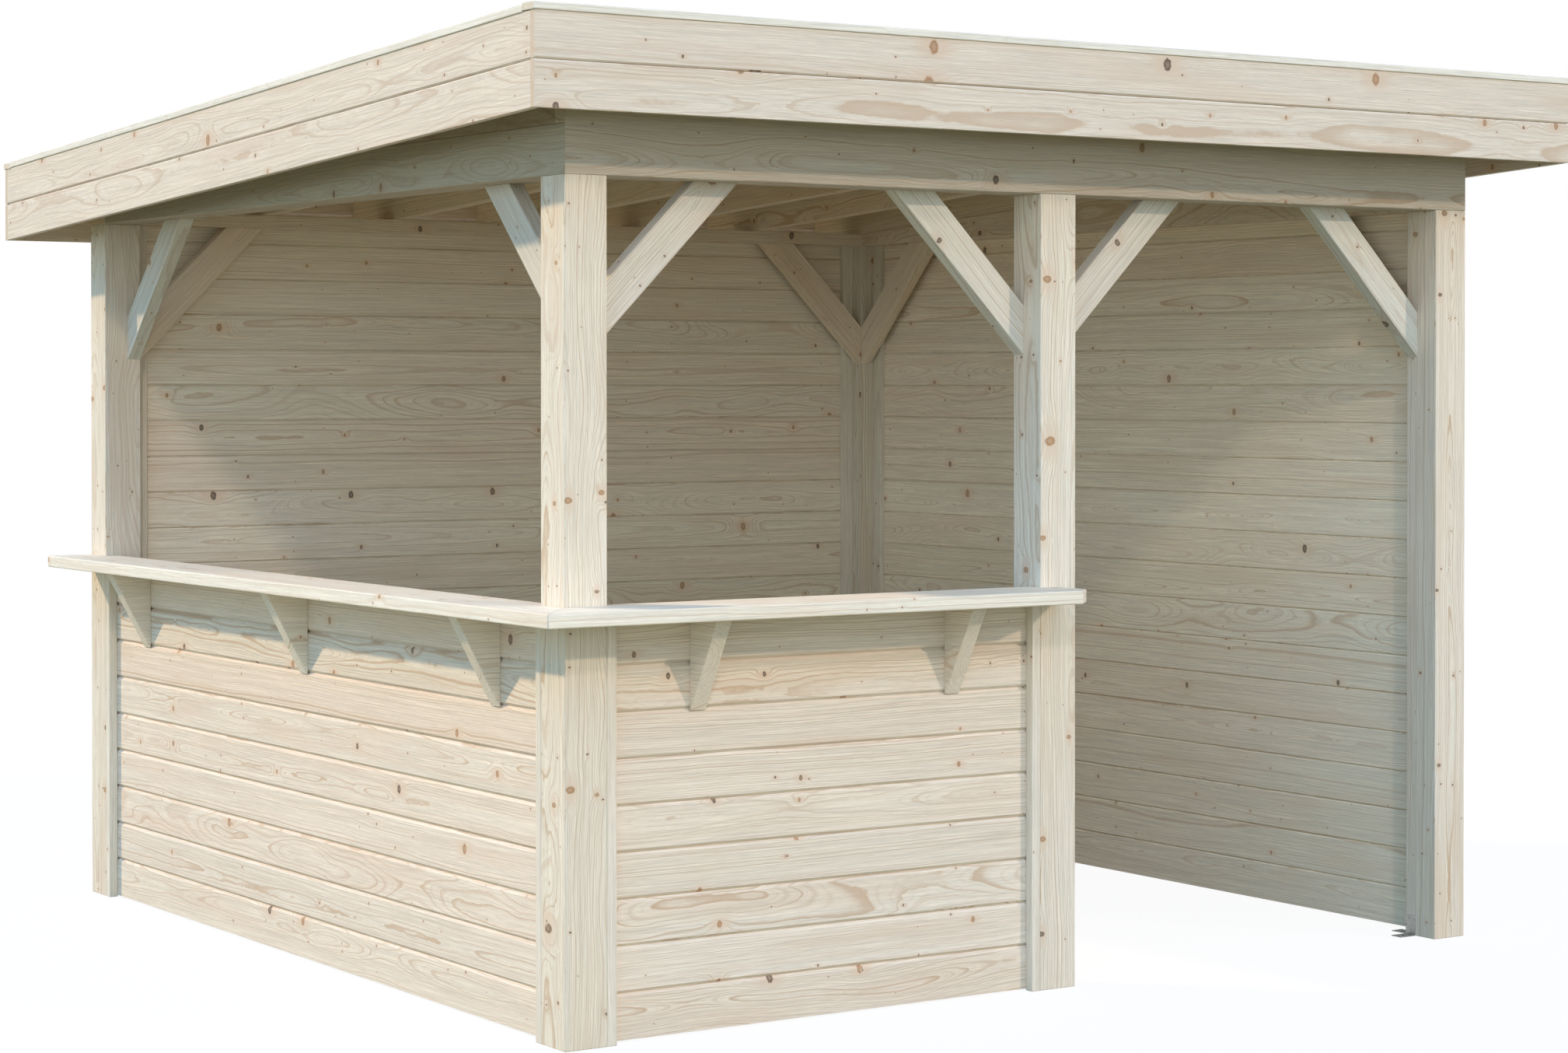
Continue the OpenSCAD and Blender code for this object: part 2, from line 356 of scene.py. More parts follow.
    def make(self, node, finish):
        """The finished piece, standing for its CAD node."""
        mesh = bpy.data.meshes.new(self.name)
        mesh.from_pydata(self.points, [], self.faces)
        for label, values in (("grain", self.grain), ("lot", self.lot), ("heart", self.heart)):
            layer = mesh.attributes.new(label, "FLOAT_VECTOR", "POINT")
            layer.data.foreach_set("vector", [x for value in values for x in value])
        for label, values in (("cut", self.cut), ("narrow", self.narrow)):
            mesh.attributes.new(label, "FLOAT", "FACE").data.foreach_set("value", values)
        scale, spots = on_shelves(self.islands)
        unwrapped = mesh.uv_layers.new(name="OFBake")
        flat = []
        for island, u, v in self.loops:
            flat += [spots[island][0] + u * scale, spots[island][1] + v * scale]
        unwrapped.data.foreach_set("uv", flat)
        work = bmesh.new()
        work.from_mesh(mesh)
        bmesh.ops.recalc_face_normals(work, faces=work.faces)
        work.to_mesh(mesh)
        work.free()
        mesh.materials.append(finish)
        piece = bpy.data.objects.new(self.name, mesh)
        bpy.context.scene.collection.objects.link(piece)
        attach(piece, "root")
        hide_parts(node)
        return piece


def oblong(a0, b0, a1, b1):
    """A rectangular outline."""
    return [(a0, b0), (a1, b0), (a1, b1), (a0, b1)]


def wound(section):
    """The outline, turned round if it runs clockwise."""
    area = sum(a[0] * b[1] - b[0] * a[1] for a, b in zip(section, section[1:] + section[:1]))
    return section if area > 0 else section[::-1]


# ---------------------------------------------------------------- finishes
class Wire:
    """A number, vector or colour on its way through a finish; arithmetic on it adds Math nodes."""

    def __init__(self, bench, socket):
        self.bench, self.socket = bench, socket

    def maths(self, kind, *values):
        return self.bench.add("ShaderNodeMath", {"operation": kind}, dict(enumerate(values)))

    def __add__(self, other):
        return self.maths("ADD", self, other)

    def __radd__(self, other):
        return self.maths("ADD", other, self)

    def __sub__(self, other):
        return self.maths("SUBTRACT", self, other)

    def __rsub__(self, other):
        return self.maths("SUBTRACT", other, self)

    def __mul__(self, other):
        return self.maths("MULTIPLY", self, other)

    def __rmul__(self, other):
        return self.maths("MULTIPLY", other, self)

    def __truediv__(self, other):
        return self.maths("DIVIDE", self, other)

    def __rtruediv__(self, other):
        return self.maths("DIVIDE", other, self)

    def __pow__(self, other):
        return self.maths("POWER", self, other)

    def __rpow__(self, other):
        return self.maths("POWER", other, self)


class Bench:
    """The nodes of one finish, or of the sky."""

    def __init__(self, owner):
        self.owner = owner
        owner.use_nodes = True
        self.tree = owner.node_tree
        self.tree.nodes.clear()

    def add(self, kind, settings=None, values=None, out=0):
        """A node of this kind with its settings, then the values or wires of its sockets."""
        node = self.tree.nodes.new(kind)
        for key, value in (settings or {}).items():
            if key == "stops":
                ramp = node.color_ramp.elements
                while len(ramp) < len(value):
                    ramp.new(0.5)
                for stop, (place, colour) in zip(ramp, value):
                    stop.position, stop.color = place, (*colour, 1)
            else:
                setattr(node, key, value)
        for key, value in (values or {}).items():
            if isinstance(value, Wire):
                self.tree.links.new(value.socket, node.inputs[key])
            else:
                node.inputs[key].default_value = value
        return Wire(self, node.outputs[out] if node.outputs else None)

    def carried(self, name, out="Vector"):
        """What the timber's corners carry under this name."""
        return self.add("ShaderNodeAttribute", {"attribute_name": name}, out=out)

    def vector(self, kind, *values, out=0):
        return self.add("ShaderNodeVectorMath", {"operation": kind}, dict(enumerate(values)), out)

    def scaled(self, vector, factor):
        return self.add("ShaderNodeVectorMath", {"operation": "SCALE"}, {0: vector, "Scale": factor})

    def parts(self, vector):
        """A vector's three numbers."""
        node = self.add("ShaderNodeSeparateXYZ", values={0: vector})
        return [Wire(self, s) for s in node.socket.node.outputs]

    def blend(self, share, under, over):
        """One colour over another."""
        under, over = (x if isinstance(x, Wire) else (*x, 1) for x in (under, over))
        settings = {"data_type": "RGBA", "blend_type": "MIX"}
        return self.add("ShaderNodeMix", settings, {0: share, 6: under, 7: over}, out=2)

    def noise(self, place, detail=2.0, roughness=0.5, out=0):
        values = {"Vector": place, "Scale": 1.0, "Detail": detail, "Roughness": roughness}
        return self.add("ShaderNodeTexNoise", {"noise_dimensions": "3D"}, values, out)

    def figure(self, place, stretch, detail, roughness, out=0):
        """Noise that is drawn out along the grain."""
        return self.noise(self.vector("MULTIPLY", place, stretch), detail, roughness, out)

    def between(self, value, low, high, to_low=0.0, to_high=1.0):
        """A soft step from to_low to to_high while value goes from low to high."""
        values = {0: value, 1: low, 2: high, 3: to_low, 4: to_high}
        return self.add("ShaderNodeMapRange", {"interpolation_type": "SMOOTHSTEP"}, values)

    def finish(self, colour, roughness, height=None, reach=0.0005, strength=0.5, **plain):
        values = {"Base Color": colour, "Roughness": roughness, **plain}
        if height is not None:
            values["Normal"] = self.add("ShaderNodeBump", values={
                "Strength": strength, "Distance": reach, "Height": height})
        shader = self.add("ShaderNodeBsdfPrincipled", values=values)
        self.add("ShaderNodeOutputMaterial", values={0: shader})
        return self.owner


TONES = [(0.0, (0.722, 0.684, 0.590)), (0.3, (0.745, 0.690, 0.580)), (0.55, (0.735, 0.665, 0.565)),
         (0.8, (0.765, 0.715, 0.612)), (1.0, (0.705, 0.660, 0.568))]
LATEWOOD = (0.50, 0.345, 0.210)
END_GRAIN = (0.60, 0.47, 0.33)
BLUSH = (0.70, 0.565, 0.435)
RESIN = (0.56, 0.365, 0.19)
KNOT_WARM = (0.38, 0.205, 0.090)
KNOT_DARK = (0.060, 0.032, 0.017)
# Each kind of knot: its cell along and across, smallest and largest radius, how many cells have
# one, and the share of them from which they are loose and dark.
KNOTS = ((0.26, 0.105, 0.0028, 0.0110, 0.30, 0.45), (0.105, 0.048, 0.0012, 0.0030, 0.16, -0.40))
KNOT_OVAL = 0.74          # how much narrower a knot is than it is tall
KNOT_PUSH = 1.6           # how far a knot moves the rings, in its own radii
KNOT_FADE = -0.22         # and how fast that dies away
# How fine each part of the figure is along, across and through the grain, in waves to the metre.
WANDER = (1.7, 4.5, 4.5)
STREAKS = (1.3, 62.0, 62.0)
PATCHES = (1.6, 12.0, 12.0)
RIPPLE = (11.0, 34.0, 34.0)
QUIVER = (45.0, 60.0, 60.0)
PORES = (5.0, 330.0, 330.0)
FIBRE = (26.0, 950.0, 950.0)
RAGGED = (160.0, 240.0, 240.0)
WANDER_REACH = (0.0, 0.10, 0.13)      # how far the rings wander, ripple and quiver, in metres
RIPPLE_REACH = 0.0034
QUIVER_REACH = 0.0010
YEAR_DARKENS = (0.58, 0.92)           # part of a year over which its wood grows dark,
YEAR_ENDS = (0.93, 1.0)               # and over which the dark wood stops
TAPER = 0.016                         # how much the trunk may narrow, in metres to the metre
YEARS_ALIKE = 2.6                     # how far good and lean years shift the rings
OWN_PLACE = (37.0, 29.0, 31.0)        # how far apart the sticks lie in the figure
STREAK_TONE = 0.20                    # how much streaks, pores and fibre lighten the wood,
PORE_TONE = 0.66
FIBRE_TONE = 0.34
BASE_TONE = 0.41                      # and what it starts from, as a share of its colour


def spruce(name, rings=0.8, knots=1.0, blush=0.35, tint=(1, 1, 1), branch=1.0):
    """Planed spruce: rings round the heart of the trunk, knots that push them aside, and fibre."""
    bench = Bench(bpy.data.materials.new(name))
    grain = bench.carried("grain")
    lot = bench.carried("lot")
    heart = bench.carried("heart")
    own = bench.vector("MULTIPLY_ADD", lot, OWN_PLACE, grain)
    lot_a, lot_b, lot_c = bench.parts(lot)
    heart_across, heart_depth, ring_width = bench.parts(heart)

    # knots: two sizes of branch, met square on by each face, which push the rings aside
    narrow = bench.carried("narrow", out="Fac")
    along, across, depth = bench.parts(grain)
    spread = across * (1 - narrow) + depth * narrow + lot_b * 29.0 + narrow * 5.3
    run = along + lot_a * 37.0
    ragged = bench.figure(own, RAGGED, 2.0, 0.6) - 0.5
    push = 0.0
    knot_marks = []
    for cell_l, cell_w, least, most, share, loose in KNOTS:
        place = bench.add("ShaderNodeCombineXYZ", values={0: run / cell_l, 1: spread / cell_w})
        settings = {"voronoi_dimensions": "2D", "feature": "F1"}
        values = {"Vector": place, "Scale": 1.0, "Randomness": 0.8}
        spot = bench.add("ShaderNodeTexVoronoi", settings, values, out="Position")
        pick = bench.parts(Wire(bench, spot.socket.node.outputs["Color"]))
        away = bench.vector("SUBTRACT", place, spot)
        away = bench.vector("MULTIPLY", away, (cell_l, cell_w * KNOT_OVAL, 0.0))
        there = bench.add("ShaderNodeMath", {"operation": "LESS_THAN"}, {0: pick[0], 1: share * knots})
        size = (pick[1] ** 2.0) * (most - least) * branch + least
        far = bench.vector("LENGTH", away, out=1) / size
        flow = bench.vector("LENGTH", bench.vector("MULTIPLY", away, (0.40, 1.0, 1.0)), out=1) / size
        push = there * size * (2.718 ** (flow * flow * KNOT_FADE)) * KNOT_PUSH + push
        knot_marks.append((there, far + ragged * 0.9, flow, bench.between(pick[2], loose, loose + 0.4)))

    # rings: distance from the heart, with the trunk's wander and taper
    wander = bench.figure(own, WANDER, 1.5, 0.45, out=1)
    wander = bench.vector("MULTIPLY", bench.vector("SUBTRACT", wander, (0.5, 0.5, 0.5)), WANDER_REACH)
    wander = bench.scaled(wander, (lot_a ** 2.0) * 0.85 + 0.14)
    ripple = bench.figure(own, RIPPLE, 2.0, 0.5) - 0.5
    quiver = bench.figure(own, QUIVER, 1.0, 0.5) - 0.5
    centre = bench.add("ShaderNodeCombineXYZ", values={1: heart_across, 2: heart_depth})
    offset = bench.vector("ADD", bench.vector("SUBTRACT", grain, centre), wander)
    radius = bench.vector("LENGTH", bench.vector("MULTIPLY", offset, (0.0, 1.0, 1.0)), out=1)
    radius = radius + along * (lot_c * TAPER - TAPER / 2)
    radius = radius + ripple * RIPPLE_REACH + quiver * QUIVER_REACH + push
    count = radius / ring_width + lot_b * 7.0
    lean_years = bench.add("ShaderNodeTexNoise", {"noise_dimensions": "1D"},
                           {"W": count * 0.33 + lot_a * 60.0, "Scale": 1.0, "Detail": 1.0})
    count = count + lean_years * YEARS_ALIKE
    within = count.maths("FRACT", count)
    number = count.maths("FLOOR", count)
    year = bench.add("ShaderNodeTexWhiteNoise", {"noise_dimensions": "1D"}, {"W": number + lot_a * 91.0})
    line = bench.between(within, *YEAR_DARKENS) * bench.between(within, *YEAR_ENDS, 1.0, 0.0)
    line = line * (year * 0.75 + 0.25)
    half_line = count.maths("PINGPONG", count * 2.6 + lot_b * 3.0, 0.5)
    fine = bench.between(half_line, 0.28, 0.5)
    resin = bench.between(year, 0.80, 0.98) * bench.between(within, 0.35, 0.95)

    # colour
    tone = bench.add("ShaderNodeValToRGB", {"stops": TONES}, {0: lot_b})
    streak = bench.figure(own, STREAKS, 2.0, 0.55)
    pores = bench.figure(own, PORES, 2.0, 0.6)
    fibre = bench.figure(own, FIBRE, 1.0, 0.5)
    lightness = streak * STREAK_TONE + pores * PORE_TONE + fibre * FIBRE_TONE + BASE_TONE
    colour = bench.scaled(tone, lightness)
    patch = bench.figure(own, PATCHES, 2.0, 0.5)
    colour = bench.blend(bench.between(patch, 0.50, 0.72) * blush, colour, BLUSH)
    colour = bench.blend(fine * 0.20 * rings, colour, LATEWOOD)
    colour = bench.blend(resin * 0.20 * rings, colour, RESIN)
    colour = bench.blend(line * rings * (pores * 0.8 + 0.55), colour, LATEWOOD)
    for there, far, flow, dark in knot_marks:
        halo = bench.between(flow, 0.6, 2.6, 0.75, 0.0) * there
        colour = bench.blend(halo, colour, BLUSH)
        core = bench.blend(dark, KNOT_WARM, KNOT_DARK)
        shade = bench.between(far, 0.10, 0.95, 0.62, 0.92)
        colour = bench.blend(bench.between(far, 0.75, 1.15, 1.0, 0.0) * there * shade, colour, core)
    ends = bench.carried("cut", out="Fac")
    colour = bench.blend(ends * 0.55, colour, END_GRAIN)
    if tint != (1, 1, 1):
        colour = bench.vector("MULTIPLY", colour, tint)
    roughness = 0.66 - line * 0.10 + fibre * 0.06
    height = line * 0.5 + fibre * 0.35 + pores * 0.35
    return bench.finish(colour, roughness, height, 0.0006, 0.35, **{"Specular IOR Level": 0.28})


def galvanised(name):
    """Hot-dipped sheet steel gone dull."""
    bench = Bench(bpy.data.materials.new(name))
    place = bench.add("ShaderNodeTexCoord", out="Object")
    settings = {"voronoi_dimensions": "3D", "feature": "F1"}
    spangle = bench.add("ShaderNodeTexVoronoi", settings, {"Vector": place, "Scale": 170.0}, out="Color")
    flake = bench.parts(spangle)[0]
    stain = bench.noise(bench.scaled(place, 60.0), 3.0, 0.6)
    colour = bench.blend(flake, (0.36, 0.37, 0.36), (0.52, 0.53, 0.52))
    colour = bench.blend(bench.between(stain, 0.5, 0.75) * 0.5, colour, (0.30, 0.29, 0.27))
    roughness = flake * 0.16 + stain * 0.2 + 0.38
    return bench.finish(colour, roughness, stain, 0.0003, 0.3, Metallic=0.85)


# Each finish: strength of the rings, share of knots, blush, tint, and size of the branches.
WOODS = {
    "post_wood": (0.80, 1.9, 0.5, (0.98, 0.965, 0.935), 1.3),
    # painted shade: the front beam's tint is about a third darker, for the shade under the roof's
    # overhang
    "beam_wood": (0.75, 1.1, 0.35, (0.71, 0.69, 0.65), 1.0),
    # painted shade: the outer left beam is darker still, for the shade under the side overhang
    "side_beam_wood": (0.60, 1.1, 0.35, (0.585, 0.57, 0.51), 1.0),
    # painted shade: the fillets are darker and redder, for the shade under the fascia
    "fillet_wood": (0.60, 1.0, 0.35, (0.555, 0.5, 0.435), 1.0),
    "inner_beam_wood": (0.70, 1.1, 0.35, (1.0, 0.94, 0.87), 1.0),
    "rafter_wood": (0.70, 1.2, 0.35, (1.0, 0.94, 0.87), 1.0),
    "deck_wood": (0.70, 1.1, 0.35, (0.99, 0.93, 0.87), 1.0),
    "fascia_wood": (0.57, 0.9, 0.35, (0.9, 0.855, 0.825), 1.7),
    "cap_wood": (0.25, 0.15, 0.1, (0.99, 1.0, 1.0), 1.0),
    "wall_wood": (0.76, 0.85, 0.35, (1.0, 0.957, 0.928), 1.0),
    # painted light: the back and right walls, seen mostly from inside, are tinted lighter to make up for
    # the dim light within
    "tall_wall_wood": (0.64, 0.85, 0.35, (1.12, 1.07, 0.99), 1.0),
    "right_wall_wood": (0.64, 0.85, 0.35, (1.22, 1.16, 1.07), 1.0),
    "batten_wood": (0.30, 0.3, 0.15, (0.99, 0.97, 0.94), 1.0),
    "brace_wood": (0.75, 1.4, 0.5, (0.88, 0.91, 0.93), 1.4),
    # painted light: the braces inside, on the back and right, are tinted lighter for the dim light within
    "inner_brace_wood": (0.70, 1.3, 0.5, (1.1, 1.03, 0.94), 1.4),
    "counter_wood": (0.60, 0.9, 0.35, (1.04, 1.04, 1.02), 1.0),
}
FINISH = {look: spruce(look.replace("_wood", "_spruce"), *recipe) for look, recipe in WOODS.items()}
FINISH["galvanised_steel"] = galvanised("dull_zinc")


def simple(name, slot, build, look=None):
    """A piece for one node of the same name."""
    stock = Stock(name + "_timber")
    build(stock)
    return stock.make(name, FINISH[look or slot])


# ---------------------------------------------------------------- posts and beams
for place in ("front_left", "back_left", "back_right", "front_right", "front_middle"):
    name = place + "_post"
    low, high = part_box(name)
    plan = oblong(low.x, low.y, high.x, high.y)
    simple(name, "post_wood", lambda s: s.stick(
        plan, (low.z, high.z), laid((0, 0, 0), EAST, NORTH, UP), "post", kind="square"))

for name, mitre in (("front_beam", 1), ("back_beam", 0)):
    low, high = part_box(name)
    section = [(low.y, low.z), (high.y, low.z), (high.y, roof_z(high.y)), (low.y, roof_z(low.y))]
    stock = Stock(name + "_timber")
    ends = (lambda a, b: low.x + mitre * (a - low.y), lambda a, b: high.x - mitre * (a - low.y))
    stock.stick(section, ends, laid((0, 0, 0), NORTH, UP, EAST), "beam", kind="square")
    if mitre:
        for x, way in ((low.x, 1), (high.x, -1)):
            seat = wound([(x, low.y), (x + way * SEAT, low.y + SEAT), (x, low.y + SEAT)])
            stock.stick(seat, (SIDE_BEAM_TOP, lambda a, b: roof_z(b)), laid((0, 0, 0), EAST, NORTH, UP),
                        "beam_seat", lie="abw")
    # The front beam takes the darker finish, which is painted shade; the back beam takes the plain one.
    stock.make(name, FINISH["beam_wood" if mitre else "inner_beam_wood"])


def side_beam(name, outer):
    """A level side beam, mitred into the front beam, and the tapered fillet between it and the roof."""
    low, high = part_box(name)
    place = laid((0, 0, 0), EAST, UP, NORTH)

    def under_roof(p):
        if p.y > low.z + FILLET_H:
            p.y = min(p.y, roof_z(p.z) - (SIDE_BEAM_TOP - p.y))
        return p

    def to_roof(p):
        if p.y > SIDE_BEAM_TOP + FILLET_H / 2:
            p.y += roof_z(p.z) - SIDE_BEAM_TOP - FILLET_H
        return p

    # The outer left beam takes the darkest beam finish, which is painted shade; the right one takes the
    # plain inner finish.
    look = "side_beam_wood" if outer == low.x else "inner_beam_wood"
    simple(name, "beam_wood", lambda s: s.stick(
        oblong(low.x, low.z, high.x, SIDE_BEAM_TOP), (lambda a, b: -HY + abs(a - outer), high.y), place,
        "beam", kind="square", bend=under_roof, stride=STRIDE / 2), look)
    stock = Stock(name + "_fillet")
    last = -HY + (roof_z(-HY) - SIDE_BEAM_TOP - FILLET_TIP) / FALL
    stock.stick(oblong(low.x + FILLET_SET, SIDE_BEAM_TOP, high.x - FILLET_SET, SIDE_BEAM_TOP + FILLET_H),
                (lambda a, b: -HY + max(SEAT, abs(a - outer)), last), place, "fillet", bend=to_roof)
    # The fillet's finish is darkened, which is painted shade from the fascia above.
    stock.make(name, FINISH["fillet_wood"])


side_beam("left_beam", -HX)
side_beam("right_beam", HX)

# ---------------------------------------------------------------- roof
for number in range(1, RAFTERS + 1):
    name = f"rafter_{number}"
    low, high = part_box(name)
    section = oblong(low.x, 0, high.x, RAFTER_H)
    simple(name, "rafter_wood", lambda s: s.stick(
        section, (low.y, high.y), laid((0, 0, roof_z(0)), EAST, UP, DOWNHILL), "rafter"))

low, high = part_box("roof_deck")
cover = (high.y - low.y) / DECK_BOARDS
for half, rows in (("front", range(DECK_BOARDS // 2)), ("back", range(DECK_BOARDS // 2, DECK_BOARDS))):
    stock = Stock(f"roof_deck_{half}_boards")
    for k in rows:
        y0 = low.y + k * cover + (BOARD_GAP / 2 if k else 0)
        y1 = low.y + (k + 1) * cover - (BOARD_GAP / 2 if k < DECK_BOARDS - 1 else 0)
        v = FASCIA_BEVEL
        section = [(y0 + v, 0), (y1 - v, 0), (y1, v), (y1, DECK_T), (y0, DECK_T), (y0, v)]
        stock.stick(section, (low.x, high.x), laid((0, 0, roof_z(0) + RAFTER_H), DOWNHILL, UP, EAST),
                    "roof_board", stride=DECK_STRIDE)
    stock.make("roof_deck", FINISH["deck_wood"])


def fascia_boards(outward):
    """Outlines of a fascia's two boards, in height and thickness; outward is the way they face."""
    v, half = FASCIA_BEVEL, FASCIA_H / 2
    g = BOARD_GAP / 2
    outer, inner = (0, FASCIA_T) if outward < 0 else (FASCIA_T, 0)
    step = v if outward < 0 else -v
    lower = [(0, outer), (half - g - v, outer), (half - g, outer + step), (half - g, inner), (0, inner)]
    upper = [(half + g, outer + step), (half + g + v, outer), (FASCIA_H, outer), (FASCIA_H, inner),
             (half + g, inner)]
    return wound(lower), wound(upper)


for side, outward in (("front", -1), ("back", 1)):
    low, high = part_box(f"{side}_fascia")
    place = laid((0, low.y, low.z), UP, NORTH, EAST)
    simple(f"{side}_fascia", "fascia_wood", lambda s: [
        s.stick(section, (low.x, high.x), place, "fascia") for section in fascia_boards(outward)])

for side, outward in (("left", -1), ("right", 1)):
    low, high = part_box(f"{side}_fascia")
    place = laid((low.x, 0, roof_z(0) - FASCIA_DROP), UP, EAST, DOWNHILL)
    simple(f"{side}_fascia", "fascia_wood", lambda s: [
        s.stick(section, (low.y, high.y), place, "fascia") for section in fascia_boards(outward)])

low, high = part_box("fascia_caps")
stock = Stock("fascia_cap_strips")
top = FASCIA_H - FASCIA_DROP
for y, z in ((low.y, roof_z(-FASCIA_Y) + top), (high.y - CAP_W, roof_z(FASCIA_Y) + top)):
    stock.stick(oblong(y, z, y + CAP_W, z + CAP_T), (low.x, high.x), laid((0, 0, 0), NORTH, UP, EAST),
                "long_cap")
for x in (low.x, high.x - CAP_W):
    inner = (low.y + CAP_W + CAP_JOINT, high.y - CAP_W - CAP_JOINT)
    stock.stick(oblong(x, 0, x + CAP_W, CAP_T), inner, laid((0, 0, roof_z(0) + top), EAST, UP, DOWNHILL),
                "side_cap")
stock.make("fascia_caps", FINISH["cap_wood"])


# ---------------------------------------------------------------- walls
def board_section(z0, z1, near, far, tongue, groove):
    """A wall board on edge: bevelled on both faces, a tongue on top and a groove below."""
    v, w, m = BOARD_BEVEL, INNER_BEVEL, (near + far) / 2
    t = TONGUE_T / 2
    low, high = z0 + BOARD_GAP / 2, z1 - BOARD_GAP / 2
    section = [(low + v, near)] if groove else [(z0, near)]
    section += [(high - v, near), (high, near + v)] if tongue else [(z1, near)]
    if tongue:
        section += [(high, m - t), (high + TONGUE_L, m - t), (high + TONGUE_L, m + t), (high, m + t),
                    (high, far - w), (high - w, far)]
    else:
        section += [(z1, far)]
    if groove:
        d, s = GROOVE_D, t + GROOVE_PLAY
        section += [(low + w, far), (low, far - w), (low, m + s), (low + d, m + s), (low + d, m - s),
                    (low, m - s), (low, near + v)]
    else:
        section += [(z0, far)]
    return wound(section)


def wall(side, node, parts, look="wall_wood"):
    """A wall of boards laid level between two posts, in one piece or in two."""
    low, high = side_box(side, node)
    origin, along, inward = SIDES[side]
    place = laid(origin, UP, inward, along)
    count = math.ceil((high[2] - low[2]) / BOARD_COVER - SLIVER)
    for part in range(parts):
        stock = Stock(f"{node}_boards" + ("" if parts == 1 else ("_low", "_high")[part]))
        for k in range(count * part // parts, count * (part + 1) // parts):
            z0 = low[2] + k * BOARD_COVER
            z1 = min(z0 + BOARD_COVER, high[2])
            if k == count - 1:
                z1 = high[2]
            section = board_section(z0, z1, low[1], high[1], k < count - 1, k > 0)
            stock.stick(section, (low[0], high[0]), place, "wall_board")
        stock.make(node, FINISH[look])


wall("front", "front_low_wall", 1)
wall("left", "left_low_wall", 1)
# painted light: the tall walls take lighter finishes for the dim light inside
wall("back", "back_wall", 2, "tall_wall_wood")
wall("right", "right_wall", 2, "right_wall_wood")


def battens(side, wall_node):
    """Upright battens that hold the boards' ends, outside and inside."""
    node = f"{side}_wall_battens"
    low, high = side_box(side, node)
    wall_near, wall_far = (corner[1] for corner in side_box(side, wall_node))
    origin, along, inward = SIDES[side]
    stock = Stock(f"{node}_strips")
    place = laid(origin, along, inward, UP)
    for u in (low[0], high[0] - OUTER_BATTEN):
        stock.stick(oblong(u, 0, u + OUTER_BATTEN, wall_near), (0, high[2]), place, "outer_batten")
    for u in (low[0], high[0] - INNER_BATTEN):
        stock.stick(oblong(u, wall_far, u + INNER_BATTEN, high[1]), (0, high[2]), place, "inner_batten")
    stock.make(node, FINISH["batten_wood"])


for side, wall_node in (("front", "front_low_wall"), ("left", "left_low_wall"), ("back", "back_wall"),
                        ("right", "right_wall")):
    battens(side, wall_node)


# ---------------------------------------------------------------- braces
def brace(side, node, way):
    """A knee brace, cut level and upright at its ends, with a wooden plug over each screw."""
    low, high = side_box(side, node)
    origin, along, inward = SIDES[side]
    leg = high[0] - low[0]
    foot = origin + along * (low[0] if way > 0 else high[0]) + UP * (high[2] - leg)
    lean = along * way
    place = laid(foot, (UP - lean) / math.sqrt(2), inward, (UP + lean) / math.sqrt(2))
    stock = Stock(node + "_timber")
    ends = (lambda a, b: a, lambda a, b: leg * math.sqrt(2) - a)
    stock.stick(oblong(0, low[1], BRACE_W, high[1]), ends, place, "brace")
    middle = (low[1] + high[1]) / 2
    for w in (PLUG_SET, leg * math.sqrt(2) - PLUG_SET):
        turns = [t * math.tau / PLUG_SIDES for t in range(PLUG_SIDES)]
        disc = [(w + PLUG_R * math.cos(t), middle + PLUG_R * math.sin(t)) for t in turns]
        cap = laid(place.translation, place.col[2].to_3d(), place.col[1].to_3d(), place.col[0].to_3d())
        stock.stick(disc, PLUG_REACH, cap, "plug", lie="baw")
    # The braces on the back and right take the lighter finish, which is painted light.
    look = "inner_brace_wood" if side in ("back", "right") else "brace_wood"
    stock.make(node, FINISH[look])


for side, ways in (("front", (1, -1, 1, -1)), ("left", (-1, 1)), ("back", (-1, 1)), ("right", (1, -1))):
    for number, way in enumerate(ways, 1):
        brace(side, f"{side}_brace_{number}", way)

# ---------------------------------------------------------------- counter
FRAME_D = 2 * HY
MID_LEFT = middle_post[0].x + HX
WALL_FAR = side_box("front", "front_low_wall")[1][1]
front_low, front_high = side_box("front", "front_counter")
left_low, left_high = side_box("left", "left_counter")
G = NOTCH_GAP
FRONT_COUNTER_TREE = (-0.05, 0.09, 0.008), (0.31, 0.78, 0.2)
LEFT_COUNTER_TREE = (-0.03, 0.07, 0.009), (0.62, 0.8, 0.7)

end = front_high[0]
front_plan = [(front_low[0], front_low[1]), (end - COUNTER_CUT, front_low[1]),
              (end, front_low[1] + COUNTER_CUT), (end, -G), (MID_LEFT - G, -G), (MID_LEFT - G, WALL_FAR),
              (POST + G, WALL_FAR), (POST + G, -G), (-G, -G)]
origin, along, inward = SIDES["front"]
simple("front_counter", "counter_wood", lambda s: s.stick(
    front_plan, (front_low[2], front_high[2]), laid(origin, along, inward, UP), "counter", lie="abw",
    tree=FRONT_COUNTER_TREE))

left_plan = [(0, left_low[1]), (left_high[0], left_low[1]), (FRAME_D + G, -G), (FRAME_D - POST - G, -G),
             (FRAME_D - POST - G, WALL_FAR), (POST + G, WALL_FAR), (POST + G, -G), (0, -G)]
origin, along, inward = SIDES["left"]
simple("left_counter", "counter_wood", lambda s: s.stick(
    left_plan, (left_low[2], left_high[2]), laid(origin, along, inward, UP), "counter", lie="abw",
    tree=LEFT_COUNTER_TREE))


